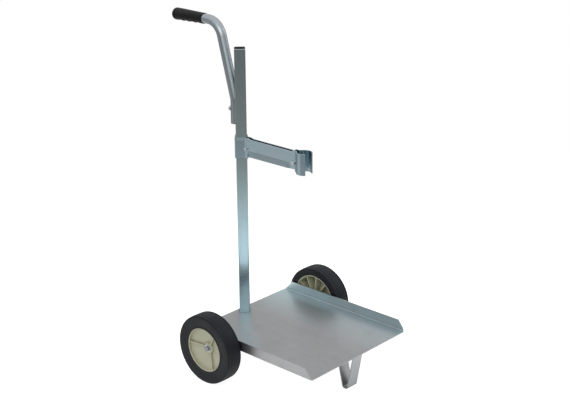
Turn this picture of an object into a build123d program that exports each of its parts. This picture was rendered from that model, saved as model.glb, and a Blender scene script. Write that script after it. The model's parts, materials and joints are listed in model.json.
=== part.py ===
from build123d import *
import math
import os

# Two-wheel hand truck with a sheet platform, a square post, a bent tube handle and a support arm
# that slides on the post. Millimetres. Z is up, the platform's front edge and the arm point to -Y,
# the handle points to +Y. Places along Y are measured from the axle while the pieces are built.

# ---- Driving dimensions -------------------------------------------------------------------------
wheel_radius = 100.0
wheel_outer_face = 256.0
tyre_width = 50.5
tyre_seat_outer = 64.0
tyre_seat_inner = 78.0
axle_radius = 6.0
axle_height = wheel_radius

platform_half_width = 201.5
platform_front = -352.0
platform_rear = 109.5
platform_top = 109.0
platform_sheet = 2.5
lip_top = 138.0

post_y = 90.2
post_side = 31.5
post_wall = 2.0
post_corner = 3.0
post_top = 899.0

handle_y = 111.3
handle_radius = 13.6
handle_wall = 1.5
handle_low_end = 680.5
handle_kink_height = 750.0
handle_lean_deg = 15.2
handle_bend_radius = 54.0
grip_height = 963.9
grip_front = 228.0
grip_rear = 348.5

arm_sheet = 3.0
arm_low = 587.0
arm_height = 60.0
arm_half_width = 7.5
collar_gap = 0.3
clip_y = -148.5
clip_inner_radius = 19.5

front_reach = -platform_front
rear_reach = grip_rear
axle_y = (front_reach - rear_reach) / 2

# ---- Helpers ------------------------------------------------------------------------------------
os.makedirs("parts", exist_ok=True)


def save(name, shape):
    """Write one node, moved so that the whole truck's box is centred on the origin."""
    moved = Pos(0, axle_y, 0) * shape
    moved.label = name
    export_step(moved, f"parts/{name}.step")


def mirrored(shape):
    """The same piece on the other side of the truck."""
    return mirror(shape, about=Plane.YZ)


def rod_x(radius, x_low, x_high, y, z):
    """A round bar along X."""
    bar = Cylinder(radius, x_high - x_low, align=(Align.CENTER, Align.CENTER, Align.MIN))
    return Pos(x_low, y, z) * Rot(0, 90, 0) * bar


def rod_y(radius, y_low, y_high, x, z):
    """A round bar along Y."""
    bar = Cylinder(radius, y_high - y_low, align=(Align.CENTER, Align.CENTER, Align.MIN))
    return Pos(x, y_low, z) * Rot(-90, 0, 0) * bar


def hexagon_x(across_flats, x_low, x_high, y, z):
    """A hexagonal block along X, chamfered round its outer end like a bolt head or nut."""
    corner_radius = across_flats / math.sqrt(3)
    length = x_high - x_low
    block = extrude(RegularPolygon(corner_radius, 6), length)
    rim = 0.12 * across_flats
    dome = Cylinder(corner_radius + 1, length, align=(Align.CENTER, Align.CENTER, Align.MIN))
    dome = chamfer(dome.edges().group_by(Axis.Z)[-1], rim)
    return Pos(x_low, y, z) * Rot(0, 90, 0) * (block & dome)


def slab_x(outline, x_low, x_high):
    """A YZ outline, a list of (y, z) points, thickened along X."""
    face = make_face(Plane.YZ * Polyline(*outline, close=True))
    return Pos(x_low, 0, 0) * extrude(face, x_high - x_low, dir=(1, 0, 0))


def section_xz(outline, y):
    """A closed outline of (x, z) points standing at one y."""
    return make_face(Polyline(*[(x, y, z) for x, z in outline], close=True))


def diamond(side, corner):
    """The post's section, or one parallel to it: a rounded square standing on its corner."""
    return Pos(0, post_y) * Rot(0, 0, 45) * RectangleRounded(side, side, corner)


# ---- Platform and what is welded to it ----------------------------------------------------------
underside = platform_top - platform_sheet
fold_radius = 5.0
front_corner_radius = 9.0
lip_slope = 23.0


def make_platform():
    """A folded tray: a flat deck with an upright lip along each side."""
    width = 2 * platform_half_width
    depth = platform_rear - platform_front
    tray = Box(width, depth, 60, align=(Align.CENTER, Align.MIN, Align.MIN))
    tray = fillet(tray.edges().filter_by(Axis.Y).group_by(Axis.Z)[0], fold_radius)
    inner_width = width - 2 * platform_sheet
    inside = Box(inner_width, depth, 60, align=(Align.CENTER, Align.MIN, Align.MIN))
    inside = fillet(inside.edges().filter_by(Axis.Y).group_by(Axis.Z)[0], fold_radius - platform_sheet)
    tray = Pos(0, platform_front, underside) * (tray - Pos(0, 0, platform_sheet) * inside)
    lip_side = [
        (platform_front, underside),
        (platform_front, platform_top),
        (platform_front + lip_slope, lip_top),
        (platform_rear - lip_slope - 5, lip_top),
        (platform_rear, platform_top),
        (platform_rear, underside),
    ]
    tray &= slab_x(lip_side, -platform_half_width, platform_half_width)
    plan = Pos(0, (platform_front + platform_rear) / 2) * Rectangle(width, depth)
    plan = fillet(plan.vertices().group_by(Axis.Y)[0], front_corner_radius)
    plan = fillet(plan.vertices().group_by(Axis.Y)[-1], 2)
    return tray & extrude(plan, 200)


def make_front_foot():
    """A flat bar bent into a V with a narrow flat foot, its rear tab welded under the deck."""
    thickness = 3.0
    path = FilletPolyline(
        (-345.0, underside),
        (-325.0, 0),
        (-307.0, 0),
        (-283.0, underside - thickness),
        (-259.0, underside - thickness),
        radius=[8, 8, 5],
    )
    section = make_face(offset(path, amount=thickness, side=Side.LEFT))
    bar = Plane.YZ * section
    half_width = 19.5
    bar = Pos(-half_width, 0, 0) * extrude(bar, 2 * half_width, dir=(1, 0, 0))
    under_deck = Box(100, 400, underside, align=(Align.CENTER, Align.MAX, Align.MIN))
    return bar & Pos(0, -200, 0) * under_deck


def make_cross_channel():
    """A folded channel under the deck that carries the post's load out to both sides."""
    length = 300.0
    width = 40.0
    depth = 20.0
    sheet = 2.5
    outer = Box(length, width, depth, align=(Align.CENTER, Align.CENTER, Align.MAX))
    outer = fillet(outer.edges().filter_by(Axis.X).group_by(Axis.Z)[-1], 3)
    inner = Box(length, width - 2 * sheet, depth, align=(Align.CENTER, Align.CENTER, Align.MAX))
    inner = fillet(inner.edges().filter_by(Axis.X).group_by(Axis.Z)[-1], 0.8)
    return Pos(0, post_y - 6, underside) * (outer - Pos(0, 0, -sheet) * inner)


def make_axle_saddle(x_middle):
    """A strap folded round the axle, with a tab each side welded under the deck."""
    strap = 3.0
    length = 30.0
    tab_half_width = 26.0
    inner_radius = axle_radius + 0.05
    outer_radius = inner_radius + strap
    rise = underside - axle_height
    tabs = Pos(0, rise - strap / 2) * Rectangle(2 * tab_half_width, strap)
    shell = Circle(outer_radius) + Pos(0, rise / 2) * Rectangle(2 * outer_radius, rise)
    hollow = Circle(inner_radius) + Pos(0, rise / 2) * Rectangle(2 * inner_radius, rise)
    section = tabs + shell - hollow
    section &= Pos(0, rise - 50) * Rectangle(200, 100)
    strap_solid = extrude(Plane.YZ * section, length / 2, both=True)
    return Pos(x_middle, 0, axle_height) * strap_solid


save("platform", make_platform())
save("front_foot", make_front_foot())
save("cross_channel", make_cross_channel())
saddle_x = 130.0
save("axle_saddle_left", make_axle_saddle(-saddle_x))
save("axle_saddle_right", make_axle_saddle(saddle_x))

# ---- Post ---------------------------------------------------------------------------------------
post_height = post_top - platform_top
post_section = diamond(post_side, post_corner)
post_bore = diamond(post_side - 2 * post_wall, post_corner - post_wall)
post = extrude(post_section, post_height)
post = chamfer(post.faces().sort_by(Axis.Z)[-1].edges(), 1.0)
post = Pos(0, 0, platform_top) * (post - extrude(post_bore, post_height))
save("post", post)


def make_post_cap():
    """A moulded plug: a flat head just proud of the tube's end and a hollow skirt below it."""
    proud = 1.0
    head = 4.0
    skirt_depth = 18.0
    plug_side = post_side - 2 * post_wall - 0.1
    top = extrude(diamond(plug_side, post_corner - post_wall), head)
    top = fillet(top.edges().group_by(Axis.Z)[-1], 0.5)
    skirt = extrude(diamond(plug_side, 1) - diamond(plug_side - 4, 0.5), -skirt_depth)
    return Pos(0, 0, post_top + proud - head) * (top + skirt)


save("post_cap", make_post_cap())

# ---- Handle -------------------------------------------------------------------------------------


def handle_path():
    """The tube's centre line: up the back of the post, leaning back, then level to the rear."""
    lean = math.tan(math.radians(handle_lean_deg))
    corner_y = handle_y + lean * (grip_height - handle_kink_height)
    points = [
        (0, handle_y, handle_low_end),
        (0, handle_y, handle_kink_height),
        (0, corner_y, grip_height),
        (0, grip_rear - 6, grip_height),
    ]
    return FilletPolyline(*points, radius=[handle_bend_radius, handle_bend_radius])


def make_handle_tube():
    """A round tube whose low end is pressed into a V that seats on the post's rear corner."""
    path = handle_path()
    start = Plane(origin=path @ 0, z_dir=path % 0)
    outside = sweep(start * Circle(handle_radius), path=path)
    inside = sweep(start * Circle(handle_radius - handle_wall), path=path)
    seat = extrude(diamond(post_side, post_corner), post_top)
    seat_wall = extrude(diamond(post_side + 2 * handle_wall, post_corner + handle_wall), post_top + 5)
    tube = (outside - seat) - (inside - seat_wall)
    return tube - rod_y(4.5, handle_y - 20, handle_y + 20, 0, stud_height)


stud_height = 721.0
stud_radius = 4.0
nut_across_flats = 13.0
handle_back = handle_y + handle_radius
washer_thickness = 1.6


def make_handle_nut():
    """Hexagon nut on the stud, drawn up against the washer."""
    nut = hexagon_x(nut_across_flats, 0, 6.5, 0, 0) - rod_x(stud_radius, -1, 10, 0, 0)
    turned = Rot(0, 0, 90) * nut
    return Pos(0, handle_back + washer_thickness, stud_height) * turned


def make_grip():
    """Soft sleeve on the tube's level end, swelling to the rear, with finger waves underneath."""
    front_radius = 15.3
    rear_radius = 17.3
    end_round = 9.0
    length = grip_rear - grip_front
    outline = [
        (0, 0),
        (front_radius - 1.2, 0),
        (front_radius, 1.2),
        (rear_radius - 0.6, 0.55 * length),
        (rear_radius, length - end_round - 12),
        (rear_radius, length - end_round),
    ]
    side = Polyline(*outline)
    dome = CenterArc((rear_radius - end_round, length - end_round), end_round, 0, 90)
    closing = Polyline(dome @ 1, (0, length), (0, 0))
    body = revolve(make_face(side + dome + closing), Axis.Y)
    finger_pitch = 25.0
    wave_radius = 16.0
    wave_depth = 1.2
    for finger in range(4):
        along = 20 + finger * finger_pitch
        wave = rod_x(wave_radius, -30, 30, along, -(front_radius + 1 + wave_radius - wave_depth))
        body -= wave
    bore = rod_y(handle_radius, -1, length - 6, 0, 0)
    return Pos(0, grip_front, grip_height) * (body - bore)


save("handle_tube", make_handle_tube())
post_corner_reach = post_side / math.sqrt(2) - post_corner * (math.sqrt(2) - 1)
stud_foot = post_y + post_corner_reach + 0.05
save("handle_stud", rod_y(stud_radius, stud_foot, handle_back + 10, 0, stud_height))
washer = Cylinder(8, washer_thickness, align=(Align.CENTER, Align.CENTER, Align.MIN))
washer -= Cylinder(4.2, 10)
save("handle_washer", Pos(0, handle_back, stud_height) * Rot(-90, 0, 0) * washer)
save("handle_nut", make_handle_nut())
save("handle_grip", make_grip())

# ---- Support arm --------------------------------------------------------------------------------
clamp_bolt_y = 64.5
clamp_bolt_z = 616.0
clip_bolt_y = -116.0
clip_bolt_z = 612.5
bolt_radius = 3.0
collar_half_diagonal = (post_side / 2 + collar_gap + arm_sheet) * math.sqrt(2)
clip_outer_radius = clip_inner_radius + arm_sheet
clip_corner_x = clip_outer_radius * math.sqrt(2)
neck_y = clip_y + clip_corner_x - arm_half_width
arm_top = arm_low + arm_height
margin_rear = 59.5
margin_front = -121.0
margin_foot = arm_low + 7
margin_top = margin_foot + 17
margin_flare = 2.8


def arm_band():
    """Plan of the folded band: jaw tip, jaw, wall, round the post, and back to the other tip."""
    tip_x = 0.46 * clip_corner_x
    right_side = [
        (collar_half_diagonal, post_y),
        (arm_half_width, post_y - collar_half_diagonal + arm_half_width),
        (arm_half_width, neck_y),
        (clip_corner_x, clip_y),
        (tip_x, clip_y - clip_corner_x + tip_x),
    ]
    left_side = [(-x, y) for x, y in reversed(right_side)]
    back = (0, post_y + collar_half_diagonal)
    collar_bend = 5.0
    wall_bend = 2.0
    side_bends = [collar_bend, wall_bend, wall_bend + arm_sheet, clip_outer_radius]
    bends = [*reversed(side_bends), collar_bend, *side_bends]
    outer_face = FilletPolyline(*left_side, back, *right_side, radius=bends)
    return make_face(offset(outer_face, amount=arm_sheet, side=Side.RIGHT))


def margin(y_low, y_high, flare_low, flare_high):
    """A stretch of the left wall's lower margin, bent outwards by these amounts at its two ends."""
    outlines = []
    for y, flare in ((y_low, flare_low), (y_high, flare_high)):
        outer_side = [
            (-arm_half_width, margin_top),
            (-arm_half_width - 0.2 * flare, margin_top - 5),
            (-arm_half_width - flare, margin_foot),
        ]
        inner_side = [(x + arm_sheet, z) for x, z in reversed(outer_side)]
        outlines.append(section_xz(outer_side + inner_side, y))
    return loft(outlines, ruled=True)


def above_shoulder():
    """What is cut from the collar's top, where its faces lean in towards the post."""
    side = collar_half_diagonal * math.sqrt(2)
    height = 9.0
    lean = 1.2
    low = arm_top - height
    inside = loft([Pos(0, 0, low) * diamond(side, 5), Pos(0, 0, arm_top) * diamond(side - 2 * lean, 5)])
    block = Box(100, 100, height, align=(Align.CENTER, Align.MIN, Align.MIN))
    return Pos(0, 72, low) * block - inside


def make_whole_arm():
    """One folded band: a collar round the post, two arm walls and a sprung clip at the front."""
    arm = Pos(0, 0, arm_low) * extrude(arm_band(), arm_height)
    above = arm_top + 5
    relief = [
        (58, above),
        (58, arm_top),
        (46, arm_top - 2.7),
        (-108, arm_top - 4),
        (-113, arm_top),
        (-113, above),
    ]
    arm -= slab_x(relief, -20, 20)
    arm -= above_shoulder()
    span = margin_rear - margin_front
    notch = Box(40, span, 2 * (margin_top - arm_low), align=(Align.CENTER, Align.MIN, Align.CENTER))
    arm -= Pos(0, margin_front, arm_low) * notch
    stations = [
        (margin_front, 0),
        (margin_front + 15, 0),
        (margin_front + 29, margin_flare),
        (margin_rear - 6, margin_flare),
        (margin_rear, 0),
    ]
    for (y_low, flare_low), (y_high, flare_high) in zip(stations, stations[1:]):
        stretch = margin(y_low, y_high, flare_low, flare_high)
        arm = arm + stretch + mirrored(stretch)
    arm -= rod_x(bolt_radius + 0.2, -30, 30, clamp_bolt_y, clamp_bolt_z)
    arm -= rod_x(bolt_radius + 0.2, -30, 30, clip_bolt_y, clip_bolt_z)
    return arm


def make_cross_bolt(y, z):
    """Bolt, nut and a washer each side, pinching the arm's walls together."""
    across_flats = 10.0
    washer = 1.2
    nut = 5.0
    head = 4.2
    seat = arm_half_width + washer
    bolt = mirrored(hexagon_x(across_flats, seat, seat + head, y, z))
    bolt += rod_x(bolt_radius, -seat - 1, seat + nut + 2.5, y, z)
    hollow = rod_x(bolt_radius, -100, 100, y, z)
    nut_solid = hexagon_x(across_flats, seat, seat + nut, y, z) - hollow
    ring = rod_x(5.7, arm_half_width, seat, y, z) - rod_x(bolt_radius + 0.2, -100, 100, y, z)
    return bolt, nut_solid, ring + mirrored(ring)


whole_arm = make_whole_arm()
split_y = neck_y + 2
behind_split = Pos(0, split_y, arm_low) * Box(400, 400, 200, align=(Align.CENTER, Align.MIN, Align.CENTER))
save("support_arm", whole_arm & behind_split)
save("arm_clip", whole_arm - behind_split)
clamp_bolt, clamp_nut, clamp_washers = make_cross_bolt(clamp_bolt_y, clamp_bolt_z)
save("clamp_bolt", clamp_bolt)
save("clamp_nut", clamp_nut)
save("clamp_washers", clamp_washers)
clip_bolt, clip_nut, clip_washers = make_cross_bolt(clip_bolt_y, clip_bolt_z)
save("clip_bolt", clip_bolt)
save("clip_nut", clip_nut)
save("clip_washers", clip_washers)

# ---- Axle and wheels ----------------------------------------------------------------------------
axle_half_length = 244.0
hub_inner_face = 204.0
hub_outer_face = 237.0
hub_rim_inner = 208.0
hub_rim_outer = 253.0
hub_rim_thickness = 4.0
boss_radius = 15.0
bush_radius = 9.0
running_gap = 0.05
axle_washer = 2.0
axle_hole = axle_radius + 0.3


def seat_radius(x):
    """Radius of the conical seat between tyre and hub, at this distance from the truck's middle."""
    share = (wheel_outer_face - x) / tyre_width
    return tyre_seat_outer + share * (tyre_seat_inner - tyre_seat_outer)


def make_tyre():
    """Solid rubber tyre: flat side walls, rounded shoulders, a flat tread and a conical bore."""
    inner_face = wheel_outer_face - tyre_width
    middle = (inner_face + wheel_outer_face) / 2
    shoulder = 4.5
    crown = 0.6
    edge_radius = wheel_radius - crown
    profile = Polyline(
        (inner_face, edge_radius),
        (inner_face, tyre_seat_inner),
        (wheel_outer_face, tyre_seat_outer),
        (wheel_outer_face, edge_radius),
    )
    tread = ThreePointArc((wheel_outer_face, edge_radius), (middle, wheel_radius), (inner_face, edge_radius))
    section = make_face(profile + tread)
    section = fillet(section.vertices().group_by(Axis.Y)[-1], shoulder)
    section = fillet(section.vertices().sort_by(Axis.Y)[:2], 1.0)
    return Pos(0, 0, axle_height) * revolve(section, Axis.X)


def make_hub():
    """Moulded hub: rim, boss and dished web, three ribs outside and a ring of ribs inside."""
    web = 4.0
    web_rim_x = 243.0
    web_boss_x = 230.0
    outer_lip = seat_radius(hub_rim_outer)
    inner_lip = seat_radius(hub_rim_inner)
    front_bore = seat_radius(web_rim_x) - hub_rim_thickness
    back_bore = seat_radius(web_rim_x - web) - hub_rim_thickness
    outline = [
        (hub_inner_face, bush_radius),
        (hub_outer_face, bush_radius),
        (hub_outer_face, boss_radius - 1),
        (hub_outer_face - 1, boss_radius),
        (web_boss_x + 1, boss_radius + 2),
        (web_rim_x, front_bore - 4),
        (web_rim_x + 2, front_bore - 1),
        (hub_rim_outer - 1, outer_lip - hub_rim_thickness),
        (hub_rim_outer, outer_lip - hub_rim_thickness + 1),
        (hub_rim_outer, outer_lip),
        (hub_rim_inner, inner_lip),
        (hub_rim_inner, inner_lip - hub_rim_thickness),
        (web_rim_x - web, back_bore),
        (web_boss_x - web, boss_radius),
        (hub_inner_face, boss_radius),
    ]
    hub = revolve(make_face(Polyline(*outline, close=True)), Axis.X)
    outer_rib = [
        (web_boss_x - 1, boss_radius - 1),
        (web_rim_x - 1, front_bore + 1),
        (web_rim_x + 7, outer_lip - hub_rim_thickness + 1),
        (hub_outer_face - 1, boss_radius - 1),
    ]
    inner_rib = [
        (hub_rim_inner + 2, inner_lip - hub_rim_thickness + 1),
        (web_rim_x - web + 1, back_bore + 1),
        (web_boss_x - web + 1, boss_radius - 1),
        (hub_inner_face + 4, boss_radius - 1),
    ]
    hub += rib_ring(outer_rib, 3, 4.0, 35.0)
    hub += rib_ring(inner_rib, 12, 3.0, 5.0)
    return Pos(0, 0, axle_height) * hub


def rib_ring(outline, count, thickness, first_angle):
    """Radial ribs, equally spaced round the hub; outline gives (x, radius) points of one."""
    blade = make_face(Plane.XZ * Polyline(*outline, close=True))
    blade = extrude(blade, thickness / 2, both=True)
    turns = [Rot(first_angle + turn * 360 / count, 0, 0) for turn in range(count)]
    return [turn * blade for turn in turns]


def make_ring(x_low, x_high, inner, outer):
    """A washer or bush round the axle."""
    return rod_x(outer, x_low, x_high, 0, axle_height) - rod_x(inner, -400, 400, 0, axle_height)


def make_push_cap():
    """Pressed steel cap that grips the end of the axle and keeps the wheel on."""
    seat = hub_outer_face + 0.4 + axle_washer
    brim = 7.8
    skirt = axle_radius + 0.9
    depth = axle_half_length - seat
    shell = rod_x(skirt, seat, axle_half_length + 2.2, 0, axle_height)
    shell = fillet(shell.edges().group_by(Axis.X)[-1], 2.6)
    shell += rod_x(brim, seat, seat + 1.2, 0, axle_height)
    return shell - rod_x(axle_radius, seat - 1, seat + depth, 0, axle_height)


save("axle", rod_x(axle_radius, -axle_half_length, axle_half_length, 0, axle_height))
lip_clearance = 0.3
inner_washer_x = platform_half_width + lip_clearance
outer_washer_x = hub_outer_face + 0.4
wheel_pieces = {
    "tyre": make_tyre(),
    "hub": make_hub(),
    "bush": make_ring(hub_inner_face, hub_outer_face, axle_radius + running_gap, bush_radius),
    "inner_washer": make_ring(inner_washer_x, inner_washer_x + axle_washer, axle_hole, 14),
    "outer_washer": make_ring(outer_washer_x, outer_washer_x + axle_washer, axle_hole, 10),
    "push_cap": make_push_cap(),
}
for piece_name, piece in wheel_pieces.items():
    save(f"{piece_name}_right", piece)
    save(f"{piece_name}_left", mirrored(piece))
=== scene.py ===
import json
import math

import bmesh
import bpy
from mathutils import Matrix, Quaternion, Vector


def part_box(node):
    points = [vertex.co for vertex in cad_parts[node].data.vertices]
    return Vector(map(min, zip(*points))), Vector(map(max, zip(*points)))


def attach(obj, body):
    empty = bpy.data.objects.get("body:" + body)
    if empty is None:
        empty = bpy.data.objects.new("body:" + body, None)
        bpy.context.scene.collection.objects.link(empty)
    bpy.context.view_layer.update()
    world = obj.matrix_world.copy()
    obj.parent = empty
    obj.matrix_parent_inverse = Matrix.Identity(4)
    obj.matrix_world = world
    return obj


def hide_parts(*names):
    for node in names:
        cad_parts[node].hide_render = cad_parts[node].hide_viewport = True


# Looks of the two-wheel hand truck. Metres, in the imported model's own frame: +Z up, the platform's
# front edge and the arm towards -Y, the handle towards +Y, the axle along X.

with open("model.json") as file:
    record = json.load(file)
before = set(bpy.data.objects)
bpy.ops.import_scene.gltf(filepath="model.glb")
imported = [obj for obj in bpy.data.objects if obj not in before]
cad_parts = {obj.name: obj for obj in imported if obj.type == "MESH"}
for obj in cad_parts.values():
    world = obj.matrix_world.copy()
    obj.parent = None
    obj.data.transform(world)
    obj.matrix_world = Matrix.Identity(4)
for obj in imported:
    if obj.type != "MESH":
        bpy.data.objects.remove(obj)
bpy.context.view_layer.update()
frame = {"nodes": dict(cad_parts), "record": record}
millimetre = 0.001


# ---- Node materials -----------------------------------------------------------------------------
class Finish:
    """A material under construction: its nodes, its Principled shader and short ways to link them."""

    def __init__(self, name, **shader_values):
        self.material = bpy.data.materials.new(name)
        self.material.use_nodes = True
        self.tree = self.material.node_tree
        self.shader = self.tree.nodes["Principled BSDF"]
        for socket, value in shader_values.items():
            self.shader.inputs[socket.replace("_", " ")].default_value = value
        self.place = self.node("ShaderNodeTexCoord").outputs["Object"]

    def node(self, kind, inputs=None, **settings):
        """A node with its settings made, and each input linked to a socket or set to a value."""
        made = self.tree.nodes.new(kind)
        for name, value in settings.items():
            setattr(made, name, value)
        for name, value in (inputs or {}).items():
            self.feed(made.inputs[name], value)
        return made

    def feed(self, socket, value):
        """Links the socket if the value is another socket, and sets it if not."""
        if isinstance(value, bpy.types.NodeSocket):
            self.tree.links.new(value, socket)
        else:
            socket.default_value = value

    def stretched(self, scale):
        """The place on the object, scaled by (x, y, z). A small number draws a pattern out that way."""
        return self.node("ShaderNodeMapping", {"Vector": self.place, "Scale": scale}).outputs["Vector"]

    def noise(self, scale, detail=4.0, rough=0.5, along=(1, 1, 1)):
        """Cloudy noise from 0 to 1, mostly between 0.3 and 0.7, with this many patches to a metre."""
        inputs = {"Vector": self.stretched(along), "Scale": scale, "Detail": detail, "Roughness": rough}
        return self.node("ShaderNodeTexNoise", inputs).outputs["Fac"]

    def cells(self, scale):
        """Cells with a random colour each, this many to a metre."""
        inputs = {"Vector": self.stretched((1, 1, 1)), "Scale": scale}
        return self.node("ShaderNodeTexVoronoi", inputs).outputs["Color"]

    def spread(self, value, low, high, to_low=0.0, to_high=1.0):
        """Stretches a value from low..high to to_low..to_high, and stops at the ends."""
        inputs = {"Value": value, "From Min": low, "From Max": high, "To Min": to_low, "To Max": to_high}
        return self.node("ShaderNodeMapRange", inputs).outputs["Result"]

    def maths(self, operation, a, b):
        made = self.node("ShaderNodeMath", operation=operation)
        self.feed(made.inputs[0], a)
        self.feed(made.inputs[1], b)
        return made.outputs[0]

    def blend(self, factor, first, second):
        """The first colour where the factor is 0, the second where it is 1."""
        made = self.node("ShaderNodeMix", data_type="RGBA")
        self.feed(made.inputs["Factor"], factor)
        self.feed(made.inputs["A"], first)
        self.feed(made.inputs["B"], second)
        return made.outputs["Result"]

    def laid_over(self, tone, colour, where, amount):
        """The tone, with this amount of another colour laid over it where the value is 1."""
        return self.blend(self.maths("MULTIPLY", where, amount), tone, colour)

    def edges(self, width):
        """1 along the object's edges, to about this width, and 0 on its faces."""
        soft = self.node("ShaderNodeBevel", {"Radius": width}, samples=4).outputs["Normal"]
        hard = self.node("ShaderNodeNewGeometry").outputs["Normal"]
        made = self.node("ShaderNodeVectorMath", operation="DOT_PRODUCT")
        self.feed(made.inputs[0], soft)
        self.feed(made.inputs[1], hard)
        return self.spread(made.outputs["Value"], 0.96, 0.8)

    def corners(self, distance):
        """1 in inside corners and joints, where shade falls, and 0 in the open: the mask for painted
        shade.
        """
        made = self.node("ShaderNodeAmbientOcclusion", {"Distance": distance}, samples=6)
        return self.spread(made.outputs["AO"], 0.85, 0.35)

    def colour(self, value):
        self.feed(self.shader.inputs["Base Color"], value)

    def roughness(self, value):
        self.feed(self.shader.inputs["Roughness"], value)

    def relief(self, height, depth, soften=0.0):
        """Bump of this depth in metres, on top of edges softened to a small radius."""
        inputs = {"Height": height, "Distance": depth, "Strength": 1.0}
        if soften:
            soft = self.node("ShaderNodeBevel", {"Radius": soften}, samples=4)
            inputs["Normal"] = soft.outputs["Normal"]
        self.feed(self.shader.inputs["Normal"], self.node("ShaderNodeBump", inputs).outputs["Normal"])


def rgb(red, green, blue):
    """A screen colour, 0 to 255, as the linear colour that shaders take."""
    def linear(level):
        level /= 255
        return level / 12.92 if level < 0.04045 else ((level + 0.055) / 1.055) ** 2.4
    return (linear(red), linear(green), linear(blue), 1.0)


def zinc(name, base, tint, drawn_along, rough, spangle=0.0, painted_light_run=None):
    """Bright zinc plating: a passivation tint in drifts, lines along the rolled or drawn direction.

    An optional painted-light gradient, as (axis, start, end, colour), turns the base slowly to another
    colour along an axis: painted reflection, standing in for the studio reflections that shift the
    metal's brightness and hue that way.
    """
    finish = Finish(name, Metallic=1.0, Specular_IOR_Level=0.5)
    # Painted reflection: the base turns slowly towards another colour along one axis.
    if painted_light_run:
        axis, start, end, far_painted_colour = painted_light_run
        along = finish.node("ShaderNodeSeparateXYZ", {"Vector": finish.place}).outputs[axis]
        base = finish.blend(finish.spread(along, start, end), base, far_painted_colour)
    drift = finish.spread(finish.noise(4.0, 3.0), 0.3, 0.7)
    tone = finish.laid_over(base, tint, drift, 0.6)
    lilac = finish.spread(finish.noise(7.0, 2.0, 0.5, (1.3, 0.7, 0.45)), 0.5, 0.68)
    tone = finish.laid_over(tone, rgb(186, 187, 199), lilac, 0.22)
    lines = finish.noise(260.0, 5.0, 0.65, drawn_along)
    tone = finish.blend(finish.spread(lines, 0.3, 0.7, 0.0, 0.12), tone, rgb(130, 138, 142))
    if spangle:
        flakes = finish.node("ShaderNodeSeparateColor", {"Color": finish.cells(150.0)}).outputs["Red"]
        tone = finish.blend(finish.spread(flakes, 0.0, 1.0, 0.0, spangle), tone, rgb(225, 228, 230))
    smudge = finish.spread(finish.noise(14.0, 6.0, 0.6), 0.52, 0.72)
    tone = finish.laid_over(tone, rgb(132, 132, 128), smudge, 0.14)
    # Painted shade: darker grey in inside corners and joints.
    tone = finish.laid_over(tone, rgb(82, 86, 86), finish.corners(12 * millimetre), 0.5)
    tone = finish.laid_over(tone, rgb(120, 126, 130), finish.edges(1 * millimetre), 0.35)
    finish.colour(tone)
    level = finish.spread(lines, 0.3, 0.7, rough - 0.03, rough + 0.04)
    finish.roughness(finish.maths("ADD", level, finish.maths("MULTIPLY", smudge, 0.06)))
    peel = finish.noise(700.0, 2.0)
    half_lines = finish.maths("MULTIPLY", lines, 0.5)
    half_peel = finish.maths("MULTIPLY", peel, 0.5)
    finish.relief(finish.maths("ADD", half_lines, half_peel), 0.008 * millimetre, 0.6 * millimetre)
    return finish.material


def turned_steel(name, base, tint, rough):
    """Bolts, nuts, washers and caps: plating with fine turned rings round the X axis."""
    finish = Finish(name, Metallic=1.0)
    drift = finish.spread(finish.noise(60.0, 3.0), 0.35, 0.65)
    tone = finish.blend(drift, base, tint)
    # Painted shade: darker grey in inside corners and joints.
    finish.colour(finish.laid_over(tone, rgb(70, 74, 78), finish.corners(4 * millimetre), 0.5))
    finish.roughness(finish.spread(finish.noise(220.0, 4.0), 0.3, 0.7, rough, rough + 0.14))
    inputs = {"Vector": finish.place, "Scale": 90.0, "Distortion": 0.2}
    turned = finish.node("ShaderNodeTexWave", inputs, bands_direction="X").outputs["Fac"]
    finish.relief(turned, 0.02 * millimetre, 0.4 * millimetre)
    return finish.material


def drawn_steel():
    """The axle: plain drawn bar with lines along X."""
    finish = Finish("steel_axle_drawn", Metallic=1.0)
    lines = finish.noise(900.0, 4.0, 0.6, (0.03, 1, 1))
    finish.colour(finish.blend(finish.spread(lines, 0.3, 0.7), rgb(150, 152, 154), rgb(188, 190, 190)))
    finish.roughness(finish.spread(lines, 0.3, 0.7, 0.24, 0.4))
    finish.relief(lines, 0.02 * millimetre)
    return finish.material


def tyre_rubber():
    """Solid rubber: near black, a little blue, with grey dust, a fine moulded grain and a painted
    highlight along its edges.
    """
    finish = Finish("tyre_rubber_solid", Specular_IOR_Level=0.28)
    patches = finish.spread(finish.noise(22.0, 5.0, 0.6), 0.42, 0.72)
    grain = finish.noise(700.0, 3.0, 0.6)
    tone = finish.blend(patches, rgb(8, 10, 17), rgb(18, 20, 29))
    tone = finish.blend(finish.spread(grain, 0.4, 0.75, 0.0, 0.25), tone, rgb(36, 37, 44))
    # Painted highlight: lighter grey along the edges.
    finish.colour(finish.laid_over(tone, rgb(84, 86, 92), finish.edges(1.5 * millimetre), 0.3))
    finish.roughness(finish.spread(patches, 0.0, 1.0, 0.46, 0.66))
    finish.relief(grain, 0.08 * millimetre, 0.6 * millimetre)
    return finish.material


def hub_plastic():
    """Cream moulded plastic, a little yellowed, with painted shade in its corners and a painted
    highlight along its edges.
    """
    finish = Finish("hub_plastic_cream", Specular_IOR_Level=0.45)
    cloud = finish.spread(finish.noise(18.0, 4.0), 0.35, 0.65)
    tone = finish.blend(cloud, rgb(180, 178, 158), rgb(172, 175, 149))
    # Painted shade: warm tan darkening in inside corners and joints.
    tone = finish.laid_over(tone, rgb(152, 136, 100), finish.corners(18 * millimetre), 0.45)
    # Painted highlight: paler cream along the edges.
    finish.colour(finish.laid_over(tone, rgb(214, 212, 198), finish.edges(1 * millimetre), 0.5))
    finish.roughness(finish.spread(finish.noise(90.0, 5.0), 0.3, 0.7, 0.36, 0.54))
    finish.relief(finish.noise(420.0, 3.0), 0.06 * millimetre, 0.8 * millimetre)
    return finish.material


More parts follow.
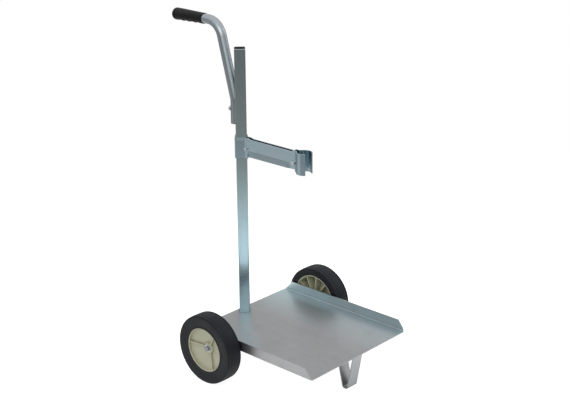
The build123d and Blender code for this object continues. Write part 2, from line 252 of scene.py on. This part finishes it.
def nylon():
    """Natural nylon bush, greasy near the axle."""
    finish = Finish("bush_plastic_nylon", Specular_IOR_Level=0.5)
    cloud = finish.noise(120.0, 4.0)
    finish.colour(finish.blend(finish.spread(cloud, 0.35, 0.7), rgb(212, 210, 200), rgb(170, 164, 148)))
    finish.roughness(finish.spread(cloud, 0.3, 0.7, 0.3, 0.5))
    finish.relief(cloud, 0.04 * millimetre)
    return finish.material


def black_moulding(name, base, worn, rough, gloss, grain_scale, grain_depth):
    """Black plastic or soft rubber with a fine moulded grain that wears shiny."""
    finish = Finish(name, Specular_IOR_Level=gloss)
    cloud = finish.spread(finish.noise(26.0, 4.0), 0.35, 0.7)
    grain = finish.noise(grain_scale, 4.0, 0.65)
    tone = finish.blend(cloud, base, worn)
    # Painted highlight: lighter grey along the edges.
    finish.colour(finish.laid_over(tone, rgb(96, 96, 98), finish.edges(1 * millimetre), 0.35))
    finish.roughness(finish.spread(cloud, 0.0, 1.0, rough + 0.08, rough - 0.06))
    finish.relief(grain, grain_depth, 0.6 * millimetre)
    return finish.material


def make_materials():
    """One finish for each of the record's material slots."""
    level_lines = (1, 0.02, 1)
    upright_lines = (1, 1, 0.015)
    arm_lines = (1, 0.015, 1)
    # Painted reflection: the deck lighter and bluer towards +X, the post greyer and less blue towards
    # its top.
    deck_painted_light = ("X", 0.02, 0.2, rgb(204, 228, 232))
    post_painted_light = ("Z", 0.3, 0.75, rgb(190, 202, 198))
    return {
        "zinc_deck": zinc(
            "zinc_deck_sheet", rgb(171, 171, 172), rgb(180, 182, 182), level_lines,
            rough=0.36, spangle=0.06, painted_light_run=deck_painted_light,
        ),
        "zinc_post": zinc(
            "zinc_post_tube", rgb(180, 212, 224), rgb(176, 199, 204), upright_lines,
            rough=0.17, painted_light_run=post_painted_light,
        ),
        "zinc_tube": zinc(
            "zinc_handle_tube", rgb(178, 189, 195), rgb(176, 182, 188), upright_lines, rough=0.32,
        ),
        "zinc_arm": zinc(
            "zinc_arm_sheet", rgb(186, 210, 220), rgb(192, 209, 214), arm_lines, rough=0.2,
        ),
        "zinc_fastener": turned_steel(
            "zinc_fastener_bright", rgb(210, 220, 226), rgb(224, 228, 232), rough=0.24,
        ),
        "steel_cap": turned_steel(
            "steel_cap_pressed", rgb(134, 136, 146), rgb(158, 160, 168), rough=0.34,
        ),
        "steel_axle": drawn_steel(),
        "tyre_rubber": tyre_rubber(),
        "hub_plastic": hub_plastic(),
        "bush_plastic": nylon(),
        "black_plastic": black_moulding(
            "post_cap_plastic", rgb(12, 13, 14), rgb(22, 23, 24),
            rough=0.7, gloss=0.15, grain_scale=600.0, grain_depth=0.05 * millimetre,
        ),
        "grip_rubber": black_moulding(
            "grip_soft_rubber", rgb(9, 9, 11), rgb(16, 16, 18),
            rough=0.52, gloss=0.28, grain_scale=1100.0, grain_depth=0.08 * millimetre,
        ),
    }


def dress_cad_nodes(materials):
    """Gives every CAD node the finish of its slot, in place of what it came with."""
    for part in frame["record"]["subparts"]:
        node = frame["nodes"][part["node"]]
        node.data.materials.clear()
        node.data.materials.append(materials[part["material_slot"]])


# ---- Mesh pieces --------------------------------------------------------------------------------
def mesh_piece(name, rings, body, material_slot, materials, loop=False):
    """A smooth piece skinned over rings of points, which close in a loop or get a face at each end."""
    mesh = bmesh.new()
    made = [[mesh.verts.new(point) for point in ring] for ring in rings]
    count = len(made[0])
    pairs = list(zip(made, made[1:]))
    if loop:
        pairs.append((made[-1], made[0]))
    for one, other in pairs:
        for i in range(count):
            j = (i + 1) % count
            mesh.faces.new((one[i], one[j], other[j], other[i]))
    if not loop:
        mesh.faces.new(reversed(made[0]))
        mesh.faces.new(made[-1])
    bmesh.ops.recalc_face_normals(mesh, faces=mesh.faces)
    for face in mesh.faces:
        face.smooth = True
    data = bpy.data.meshes.new(name)
    mesh.to_mesh(data)
    mesh.free()
    data.materials.append(materials[material_slot])
    piece = bpy.data.objects.new(name, data)
    bpy.context.scene.collection.objects.link(piece)
    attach(piece, body)
    return piece


def circle_turns(count):
    """Angles of this many points, evenly spaced round a circle."""
    return [2 * math.pi * step / count for step in range(count)]


def tyre_flank(half, seat, radius):
    """One half of the tyre's outline, from the hub to the tread: (distance from its middle, radius)."""
    toe = 1.2 * millimetre
    bead_top = seat + 3.5 * millimetre
    groove_depth = 0.9 * millimetre
    groove_low = bead_top + 1.2 * millimetre
    groove_high = bead_top + 3.0 * millimetre
    wall_low = bead_top + 6.0 * millimetre
    wall_dip = 0.2 * millimetre
    shoulder = 4.5 * millimetre
    crown = 0.6 * millimetre
    shoulder_centre = radius - crown - shoulder
    flank = [
        (half - toe, seat),
        (half - 0.3 * toe, seat + 0.3 * toe),
        (half, seat + toe),
        (half, bead_top),
        (half - groove_depth, groove_low),
        (half - groove_depth, groove_high),
        (half - wall_dip, wall_low),
        (half, shoulder_centre - 3.0 * millimetre),
    ]
    shoulder_steps = 6
    for step in range(shoulder_steps + 1):
        turn = math.radians(90 * step / shoulder_steps)
        flank.append((
            half - shoulder + shoulder * math.cos(turn),
            shoulder_centre + shoulder * math.sin(turn),
        ))
    line_at = half - shoulder - 4.0 * millimetre
    line_half_width = 0.6 * millimetre
    line_depth = 0.6 * millimetre
    flank += [
        (line_at + line_half_width, radius - 0.8 * crown),
        (line_at, radius - 0.8 * crown - line_depth),
        (line_at - line_half_width, radius - 0.75 * crown),
        (0.6 * line_at, radius - 0.3 * crown),
        (0.3 * line_at, radius - 0.08 * crown),
    ]
    return flank


def make_tyre(side, materials):
    """Solid tyre on a conical seat: a bead by the hub and a fine mould line inside each shoulder."""
    low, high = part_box(f"tyre_{side}")
    centre = (low + high) / 2
    half = (high.x - low.x) / 2
    radius = (high.y - low.y) / 2
    outward = math.copysign(1.0, centre.x)
    outer = tyre_flank(half, 64 * millimetre, radius)
    inner = tyre_flank(half, 78 * millimetre, radius)
    outline = [(centre.x + outward * x, r) for x, r in outer]
    outline.append((centre.x, radius))
    outline += [(centre.x - outward * x, r) for x, r in reversed(inner)]
    rings = [
        [Vector((x, centre.y + r * math.cos(turn), centre.z + r * math.sin(turn))) for x, r in outline]
        for turn in circle_turns(144)
    ]
    name = f"tyre_{side}_moulded"
    piece = mesh_piece(name, rings, f"wheel_{side}", "tyre_rubber", materials, loop=True)
    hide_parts(f"tyre_{side}")


def ramp(value, start, length):
    """0 up to the start, 1 past its length, and a straight rise between."""
    return min(1.0, max(0.0, (value - start) / length))


def make_grip(materials):
    """Soft sleeve on the handle: a collar at the front, finger waves below, a rounded rear end."""
    low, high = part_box("handle_grip")
    length = high.y - low.y
    axis_z = high.z - (high.x - low.x) / 2
    front_radius = 15.3 * millimetre
    rear_radius = (high.x - low.x) / 2
    bore_radius = 13.6 * millimetre
    swell_end = 0.75
    collar_height = 0.3 * millimetre
    collar_length = 2.6 * millimetre
    end_round = 8.5 * millimetre
    waves = 4
    wave_depth = 1.7 * millimetre
    waves_from = 8 * millimetre
    waves_to = length - 14 * millimetre
    turns = circle_turns(48)
    stations = 150
    rings = [[
        Vector((bore_radius * math.cos(turn), low.y, axis_z + bore_radius * math.sin(turn)))
        for turn in turns
    ]]
    for station in range(stations + 1):
        share = station / stations
        y = length * share
        radius = front_radius + (rear_radius - front_radius) * min(1.0, share / swell_end)
        radius += collar_height * math.exp(-((y / collar_length) ** 4))
        from_end = length - y
        if from_end < end_round:
            radius -= end_round - math.sqrt(max(0.0, end_round**2 - (end_round - from_end) ** 2))
        fade_in = ramp(y, waves_from, 12 * millimetre)
        fade_out = ramp(from_end, 12 * millimetre, 14 * millimetre)
        cycle = 2 * math.pi * waves * (y - waves_from) / (waves_to - waves_from)
        hollow = wave_depth * (0.5 - 0.5 * math.cos(cycle)) * fade_in * fade_out
        ring = []
        for turn in turns:
            below = max(0.0, -math.sin(turn)) ** 1.5
            r = radius - hollow * below
            ring.append(Vector((r * math.cos(turn), low.y + y, axis_z + r * math.sin(turn))))
        rings.append(ring)
    piece = mesh_piece("handle_grip_moulded", rings, "frame", "grip_rubber", materials)
    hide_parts("handle_grip")


def bead_rings(route, radius):
    """Rings of a rippled weld bead that follows a closed route of points."""
    turns = circle_turns(10)
    rings = []
    count = len(route)
    for i, point in enumerate(route):
        along = (route[(i + 1) % count] - route[i - 1]).normalized()
        side = along.cross(Vector((0, 0, 1))).normalized()
        up = side.cross(along)
        ripple = radius * (1 + 0.13 * math.sin(i * 2.1) + 0.05 * math.sin(i * 0.7))
        rings.append([point + ripple * (math.cos(turn) * side + math.sin(turn) * up) for turn in turns])
    return rings


def points_between(start, end, pitch):
    """Evenly spaced points from start up to, but not including, end."""
    count = max(1, round((end - start).length / pitch))
    return [start.lerp(end, i / count) for i in range(count)]


def make_post_weld(materials):
    """Fillet weld all round the foot of the post, on the deck."""
    low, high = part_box("post")
    centre = (low + high) / 2
    reach = (high.x - low.x) / 2
    corner_cut = 1.3 * millimetre
    bead_radius = 1.3 * millimetre
    ripple_pitch = 1.4 * millimetre
    height = low.z + 0.3 * millimetre
    ways = [(1, 0), (0, 1), (-1, 0), (0, -1)]
    tips = [Vector((centre.x + reach * x, centre.y + reach * y, height)) for x, y in ways]
    route = []
    for tip, after in zip(tips, tips[1:] + tips[:1]):
        way = (after - tip).normalized() * corner_cut
        route += points_between(tip + way, after - way, ripple_pitch)
    rings = bead_rings(route, bead_radius)
    mesh_piece("post_foot_weld", rings, "frame", "zinc_post", materials, loop=True)


# ---- Stage, light and camera --------------------------------------------------------------------
def make_floor():
    """Plain pale floor that fades into the background far from the truck."""
    reach = 12.0
    mesh = bmesh.new()
    corners = [(-reach, -reach), (reach, -reach), (reach, reach), (-reach, reach)]
    mesh.faces.new([mesh.verts.new((x, y, 0.0)) for x, y in corners])
    data = bpy.data.meshes.new("floor")
    mesh.to_mesh(data)
    mesh.free()
    floor = bpy.data.objects.new("floor", data)
    bpy.context.scene.collection.objects.link(floor)
    finish = Finish("floor_pale", Roughness=0.9, Specular_IOR_Level=0.1)
    finish.colour(rgb(188, 188, 188))
    finish.feed(finish.shader.inputs["Emission Color"], rgb(255, 255, 255))
    seen = finish.node("ShaderNodeLightPath").outputs["Is Camera Ray"]
    mirrored_glow = 0.42
    seen_glow = 0.88
    glow = finish.spread(seen, 0.0, 1.0, mirrored_glow, seen_glow)
    finish.feed(finish.shader.inputs["Emission Strength"], glow)
    fade_from = 0.75
    fade_to = 1.7
    distance = finish.node("ShaderNodeVectorMath", {0: finish.place}, operation="LENGTH")
    alpha = finish.spread(distance.outputs["Value"], fade_from, fade_to, 1.0, 0.0)
    finish.feed(finish.shader.inputs["Alpha"], alpha)
    data.materials.append(finish.material)


# Brightness of the studio by height, 0 straight down to 1 straight up.
sky_stops = [
    (0.0, 0.32), (0.37, 0.32), (0.39, 0.18), (0.46, 0.12),
    (0.54, 0.3), (0.66, 0.66), (0.85, 0.85), (1.0, 0.9),
]
# Paler panels: the way to the middle, the cosine at the rim and at full strength, the brightness.
sky_panels = [
    ((-0.6, -0.62, 0.36), 0.86, 0.98, 0.5),
    ((-0.72, 0.64, -0.2), 0.86, 0.98, 0.22),
]


def make_world():
    """White to the camera. To light and reflections, a studio bright above and dim at the horizon."""
    world = bpy.data.worlds.new("studio")
    bpy.context.scene.world = world
    world.use_nodes = True
    nodes, links = world.node_tree.nodes, world.node_tree.links
    nodes.clear()
    place = nodes.new("ShaderNodeTexCoord")
    split = nodes.new("ShaderNodeSeparateXYZ")
    links.new(place.outputs["Generated"], split.inputs["Vector"])
    height = nodes.new("ShaderNodeMapRange")
    height.inputs["From Min"].default_value = -1.0
    links.new(split.outputs["Z"], height.inputs["Value"])
    sky = nodes.new("ShaderNodeValToRGB")
    links.new(height.outputs["Result"], sky.inputs["Fac"])
    elements = sky.color_ramp.elements
    elements.remove(elements[1])
    elements[0].position, level = sky_stops[0]
    elements[0].color = (level, level, level, 1)
    for position, level in sky_stops[1:]:
        elements.new(position).color = (level, level, level, 1)
    total = sky.outputs["Color"]
    for direction, rim, middle, level in sky_panels:
        toward = nodes.new("ShaderNodeVectorMath")
        toward.operation = "DOT_PRODUCT"
        toward.inputs[1].default_value = Vector(direction).normalized()
        links.new(place.outputs["Generated"], toward.inputs[0])
        panel = nodes.new("ShaderNodeMapRange")
        panel.interpolation_type = "SMOOTHSTEP"
        panel.inputs["From Min"].default_value = rim
        panel.inputs["From Max"].default_value = middle
        panel.inputs["To Max"].default_value = level
        links.new(toward.outputs["Value"], panel.inputs["Value"])
        added = nodes.new("ShaderNodeVectorMath")
        links.new(total, added.inputs[0])
        links.new(panel.outputs["Result"], added.inputs[1])
        total = added.outputs["Vector"]
    studio = nodes.new("ShaderNodeBackground")
    links.new(total, studio.inputs["Color"])
    backdrop = nodes.new("ShaderNodeBackground")
    backdrop.inputs["Color"].default_value = (1, 1, 1, 1)
    ray = nodes.new("ShaderNodeLightPath")
    mix = nodes.new("ShaderNodeMixShader")
    links.new(ray.outputs["Is Camera Ray"], mix.inputs[0])
    links.new(studio.outputs[0], mix.inputs[1])
    links.new(backdrop.outputs[0], mix.inputs[2])
    out = nodes.new("ShaderNodeOutputWorld")
    links.new(mix.outputs[0], out.inputs["Surface"])


def make_soft_light(name, place, aim, width, height, power, mirrored=True):
    """A soft box at place, turned to aim, that shows in bright metal if mirrored."""
    data = bpy.data.lights.new(name, "AREA")
    data.shape = "RECTANGLE"
    data.size = width
    data.size_y = height
    data.energy = power
    lamp = bpy.data.objects.new(name, data)
    lamp.location = place
    lamp.rotation_euler = (Vector(aim) - Vector(place)).to_track_quat("-Z", "Y").to_euler()
    lamp.visible_glossy = mirrored
    bpy.context.scene.collection.objects.link(lamp)


def make_lights():
    """Soft boxes: a large one overhead, one from the front left and a weaker one from the right."""
    middle = (0, 0, 0.4)
    make_soft_light(
        "overhead", (0.2, -0.2, 3.4), middle, width=2.4, height=2.4, power=52, mirrored=False,
    )
    make_soft_light("front_left", (-2.9, -1.2, 2.4), middle, width=1.8, height=1.8, power=14)
    make_soft_light("right", (2.8, -1.4, 1.8), middle, width=1.4, height=2.0, power=8)


def make_camera():
    """The photograph's viewpoint: a long lens from the front left, looking down a little."""
    azimuth = math.radians(-47.08)
    elevation = math.radians(19.42)
    roll = math.radians(-0.455)
    distance = 3.44
    aim_from_axle = Vector((0.0354, -0.0434, 0.3767))
    axle_low, axle_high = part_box("axle")
    target = (axle_low + axle_high) / 2 + aim_from_axle
    back = Vector((
        math.sin(azimuth) * math.cos(elevation),
        -math.cos(azimuth) * math.cos(elevation),
        math.sin(elevation),
    ))
    data = bpy.data.cameras.new("camera")
    data.sensor_width = 36.0
    data.lens = 77.05
    camera = bpy.data.objects.new("camera", data)
    camera.rotation_mode = "QUATERNION"
    camera.rotation_quaternion = (-back).to_track_quat("-Z", "Y") @ Quaternion((0, 0, 1), roll)
    camera.location = target + distance * back
    bpy.context.scene.collection.objects.link(camera)
    bpy.context.scene.camera = camera


# ---- The scene ----------------------------------------------------------------------------------
bpy.context.scene.view_settings.view_transform = "Standard"
make_camera()
make_world()
make_lights()
make_floor()
materials = make_materials()
dress_cad_nodes(materials)
for wheel_side in ("left", "right"):
    make_tyre(wheel_side, materials)
make_grip(materials)
make_post_weld(materials)
